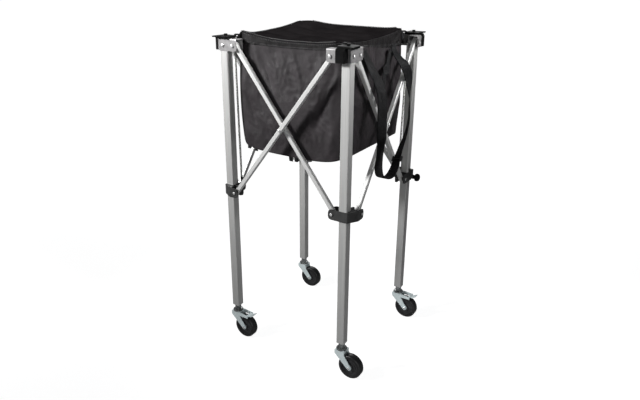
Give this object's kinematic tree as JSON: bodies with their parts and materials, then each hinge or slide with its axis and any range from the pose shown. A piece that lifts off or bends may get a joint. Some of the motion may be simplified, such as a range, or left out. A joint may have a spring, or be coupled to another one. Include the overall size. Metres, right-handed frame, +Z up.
{
  "type": "folding ball cart",
  "caption": "Folding ball cart: tube legs on casters joined by crossed links with sliding collars, and a lidded fabric bag hung between them.",
  "frame": {"origin": "centre of the bounding box in plan, on the floor under the wheels", "axes": "+Z up; +X towards the side whose wall carries the strap, on the right in the picture; +Y to the back, away from the viewer on the left"},
  "size_m": [0.5016, 0.4668, 0.9774],
  "materials": {
    "satin_aluminium": "satin anodised",
    "zinc_sheet": "satin zinc-plated",
    "bright_rivet": "bright",
    "black_plastic": "moulded, fine grain",
    "zinc_race": "dark zinc-plated",
    "zinc_fork": "bright zinc-plated",
    "black_rubber": "matt",
    "black_cloth": "plain woven, slight sheen",
    "black_webbing": "ribbed webbing",
    "speckled_cord": "braided elastic cord"
  },
  "bodies": {
    "root": {"leg_front": "satin_aluminium", "long_saddle_front": "zinc_sheet", "short_saddle_front": "zinc_sheet", "corner_block_front": "black_plastic", "caster_stem_front": "zinc_race", "bag_wall_front": "black_cloth", "bag_wall_right": "black_cloth", "carry_strap": "black_webbing"},
    "link_front_outer": {"link_front_outer": "satin_aluminium", "crossing_rivet_front": "bright_rivet"},
    "link_front_inner": {"link_front_inner": "satin_aluminium"},
    "link_right_outer": {"link_right_outer": "satin_aluminium", "crossing_rivet_right": "bright_rivet"},
    "link_right_inner": {"link_right_inner": "satin_aluminium"},
    "link_back_outer": {"link_back_outer": "satin_aluminium", "crossing_rivet_back": "bright_rivet"},
    "link_back_inner": {"link_back_inner": "satin_aluminium"},
    "link_left_outer": {"link_left_outer": "satin_aluminium", "crossing_rivet_left": "bright_rivet"},
    "link_left_inner": {"link_left_inner": "satin_aluminium"},
    "leg_left": {"leg_left": "satin_aluminium", "long_saddle_left": "zinc_sheet", "short_saddle_left": "zinc_sheet", "corner_block_left": "black_plastic", "caster_stem_left": "zinc_race", "bag_wall_left": "black_cloth", "pull_cord_left": "speckled_cord"},
    "leg_right": {"leg_right": "satin_aluminium", "long_saddle_right": "zinc_sheet", "short_saddle_right": "zinc_sheet", "corner_block_right": "black_plastic", "caster_stem_right": "zinc_race", "bag_wall_back": "black_cloth", "pull_cord_right": "speckled_cord"},
    "leg_back": {"leg_back": "satin_aluminium", "long_saddle_back": "zinc_sheet", "short_saddle_back": "zinc_sheet", "corner_block_back": "black_plastic", "caster_stem_back": "zinc_race"},
    "collar_front": {"collar_front": "black_plastic"},
    "collar_right": {"collar_right": "black_plastic"},
    "collar_back": {"collar_back": "black_plastic"},
    "collar_left": {"collar_left": "black_plastic"},
    "lock_pin": {"lock_pin": "black_plastic"},
    "fork_front": {"caster_fork_front": "zinc_fork"},
    "wheel_front": {"caster_wheel_front": "black_rubber"},
    "fork_right": {"caster_fork_right": "zinc_fork"},
    "wheel_right": {"caster_wheel_right": "black_rubber"},
    "fork_back": {"caster_fork_back": "zinc_fork"},
    "wheel_back": {"caster_wheel_back": "black_rubber"},
    "fork_left": {"caster_fork_left": "zinc_fork"},
    "wheel_left": {"caster_wheel_left": "black_rubber"},
    "pedal_right": {"brake_pedal_right": "zinc_fork"},
    "pedal_left": {"brake_pedal_left": "zinc_fork"},
    "bag_floor_right": {"bag_floor_right": "black_cloth"},
    "bag_floor_left": {"bag_floor_left": "black_cloth"},
    "lid_seam": {"lid_seam": "black_cloth"},
    "lid_right": {"lid_right": "black_cloth"},
    "lid_left": {"lid_left": "black_cloth"},
    "zip_slider": {"zip_slider": "black_plastic"}
  },
  "joints": [
    {"name": "fold", "type": "hinge", "parent": "root", "child": "link_front_outer", "pos_m": [0.14611, -0.216, 0.947], "axis": [0, -1, 0], "range_deg": [0, 31.3], "deforming": ["bag_wall_front", "bag_wall_right", "bag_wall_back", "bag_wall_left", "bag_floor_right", "bag_floor_left", "lid_seam", "lid_right", "lid_left", "carry_strap", "pull_cord_left", "pull_cord_right"]},
    {"name": "front_crossing", "type": "hinge", "parent": "link_front_outer", "child": "link_front_inner", "pos_m": [-0.01739, -0.20675, 0.732], "axis": [0, -1, 0], "range_deg": [-63.1, 0]},
    {"name": "left_leg_pivot", "type": "hinge", "parent": "link_front_inner", "child": "leg_left", "pos_m": [-0.18089, -0.1975, 0.947], "axis": [0, -1, 0], "range_deg": [0, 31.8]},
    {"name": "left_collar_pivot", "type": "hinge", "parent": "link_front_outer", "child": "collar_left", "pos_m": [-0.18089, -0.216, 0.517], "axis": [0, -1, 0], "range_deg": [-31.8, 0]},
    {"name": "front_collar_pivot", "type": "hinge", "parent": "link_front_inner", "child": "collar_front", "pos_m": [0.14611, -0.1975, 0.517], "axis": [0, -1, 0], "range_deg": [0, 31.8]},
    {"name": "right_link_pivot", "type": "hinge", "parent": "root", "child": "link_right_inner", "pos_m": [0.18011, -0.1635, 0.947], "axis": [-1, 0, 0], "range_deg": [0, 31.8]},
    {"name": "right_crossing", "type": "hinge", "parent": "link_right_inner", "child": "link_right_outer", "pos_m": [0.18936, 0, 0.732], "axis": [-1, 0, 0], "range_deg": [-63.1, 0]},
    {"name": "right_leg_pivot", "type": "hinge", "parent": "link_right_outer", "child": "leg_right", "pos_m": [0.19861, 0.1635, 0.947], "axis": [-1, 0, 0], "range_deg": [0, 31.8]},
    {"name": "right_collar_pivot", "type": "hinge", "parent": "link_right_inner", "child": "collar_right", "pos_m": [0.18011, 0.1635, 0.517], "axis": [-1, 0, 0], "range_deg": [-31.8, 0]},
    {"name": "left_link_pivot", "type": "hinge", "parent": "leg_left", "child": "link_left_outer", "pos_m": [-0.23339, -0.1635, 0.947], "axis": [-1, 0, 0], "range_deg": [0, 31.8]},
    {"name": "left_crossing", "type": "hinge", "parent": "link_left_outer", "child": "link_left_inner", "pos_m": [-0.22414, 0, 0.732], "axis": [-1, 0, 0], "range_deg": [-63.1, 0]},
    {"name": "back_leg_pivot", "type": "hinge", "parent": "link_left_inner", "child": "leg_back", "pos_m": [-0.21489, 0.1635, 0.947], "axis": [-1, 0, 0], "range_deg": [0, 31.8]},
    {"name": "back_collar_pivot", "type": "hinge", "parent": "link_left_outer", "child": "collar_back", "pos_m": [-0.23339, 0.1635, 0.517], "axis": [-1, 0, 0], "range_deg": [-31.8, 0]},
    {"name": "back_link_pivot", "type": "hinge", "parent": "leg_right", "child": "link_back_inner", "pos_m": [0.14611, 0.1975, 0.947], "axis": [0, -1, 0], "range_deg": [0, 31.8]},
    {"name": "back_crossing", "type": "hinge", "parent": "link_back_inner", "child": "link_back_outer", "pos_m": [-0.01739, 0.20675, 0.732], "axis": [0, -1, 0], "range_deg": [-63.1, 0]},
    {"name": "floor_right_crease", "type": "hinge", "parent": "root", "child": "bag_floor_right", "pos_m": [0.16131, 0, 0.652], "axis": [0, -1, 0], "range_deg": [0, 76.5]},
    {"name": "floor_left_crease", "type": "hinge", "parent": "leg_left", "child": "bag_floor_left", "pos_m": [-0.19609, 0, 0.652], "axis": [0, 1, 0], "range_deg": [0, 76.5]},
    {"name": "lid_open", "type": "hinge", "parent": "root", "child": "lid_seam", "pos_m": [0.15981, 0, 0.9653], "axis": [0, -1, 0], "range_deg": [-120, 0]},
    {"name": "lid_right_crease", "type": "hinge", "parent": "lid_seam", "child": "lid_right", "pos_m": [0.15466, 0, 0.9653], "axis": [0, -1, 0], "range_deg": [0, 83.79]},
    {"name": "lid_middle_crease", "type": "hinge", "parent": "lid_right", "child": "lid_left", "pos_m": [-0.01739, 0, 0.962], "axis": [0, -1, 0], "range_deg": [-153.4, 0]},
    {"name": "zip_run", "type": "slide", "parent": "leg_right", "child": "zip_slider", "axis": [1, 0, 0], "range_m": [-0.28, 0]},
    {"name": "lock_pull", "type": "slide", "parent": "collar_right", "child": "lock_pin", "axis": [1, 0, 0], "range_m": [0, 0.008], "stiffness_N_per_m": 400, "springref_m": -0.008},
    {"name": "front_swivel", "type": "hinge", "parent": "root", "child": "fork_front", "pos_m": [0.18011, -0.1975, 0.09], "axis": [0, 0, 1], "continuous": true},
    {"name": "front_wheel_spin", "type": "hinge", "parent": "fork_front", "child": "wheel_front", "pos_m": [0.21311, -0.1975, 0.03768], "axis": [0, 1, 0], "continuous": true},
    {"name": "right_swivel", "type": "hinge", "parent": "leg_right", "child": "fork_right", "pos_m": [0.18011, 0.1975, 0.09], "axis": [0, 0, 1], "continuous": true},
    {"name": "right_wheel_spin", "type": "hinge", "parent": "fork_right", "child": "wheel_right", "pos_m": [0.21311, 0.1975, 0.03768], "axis": [0, 1, 0], "continuous": true},
    {"name": "back_swivel", "type": "hinge", "parent": "leg_back", "child": "fork_back", "pos_m": [-0.21489, 0.1975, 0.09], "axis": [0, 0, 1], "continuous": true},
    {"name": "back_wheel_spin", "type": "hinge", "parent": "fork_back", "child": "wheel_back", "pos_m": [-0.18189, 0.1975, 0.03768], "axis": [0, 1, 0], "continuous": true},
    {"name": "left_swivel", "type": "hinge", "parent": "leg_left", "child": "fork_left", "pos_m": [-0.21489, -0.1975, 0.09], "axis": [0, 0, 1], "continuous": true},
    {"name": "left_wheel_spin", "type": "hinge", "parent": "fork_left", "child": "wheel_left", "pos_m": [-0.18189, -0.1975, 0.03768], "axis": [0, 1, 0], "continuous": true},
    {"name": "right_brake", "type": "hinge", "parent": "fork_right", "child": "pedal_right", "pos_m": [0.22611, 0.1975, 0.0805], "axis": [0, 1, 0], "range_deg": [0, 12]},
    {"name": "left_brake", "type": "hinge", "parent": "fork_left", "child": "pedal_left", "pos_m": [-0.16889, -0.1975, 0.0805], "axis": [0, 1, 0], "range_deg": [0, 12]}
  ],
  "couplings": [
    {"joint": "front_crossing", "follows": "fold", "ratio": -2},
    {"joint": "left_leg_pivot", "follows": "fold", "ratio": 1},
    {"joint": "left_collar_pivot", "follows": "fold", "ratio": -1},
    {"joint": "front_collar_pivot", "follows": "fold", "ratio": 1},
    {"joint": "right_link_pivot", "follows": "fold", "ratio": 1},
    {"joint": "right_crossing", "follows": "fold", "ratio": -2},
    {"joint": "right_leg_pivot", "follows": "fold", "ratio": 1},
    {"joint": "right_collar_pivot", "follows": "fold", "ratio": -1},
    {"joint": "left_link_pivot", "follows": "fold", "ratio": 1},
    {"joint": "left_crossing", "follows": "fold", "ratio": -2},
    {"joint": "back_leg_pivot", "follows": "fold", "ratio": 1},
    {"joint": "back_collar_pivot", "follows": "fold", "ratio": -1},
    {"joint": "back_link_pivot", "follows": "fold", "ratio": 1},
    {"joint": "back_crossing", "follows": "fold", "ratio": -2},
    {"joint": "floor_right_crease", "follows": "fold", "ratio": 2.428},
    {"joint": "floor_left_crease", "follows": "fold", "ratio": 2.428},
    {"joint": "lid_right_crease", "follows": "fold", "ratio": 2.661},
    {"joint": "lid_middle_crease", "follows": "fold", "ratio": -4.885}
  ]
}
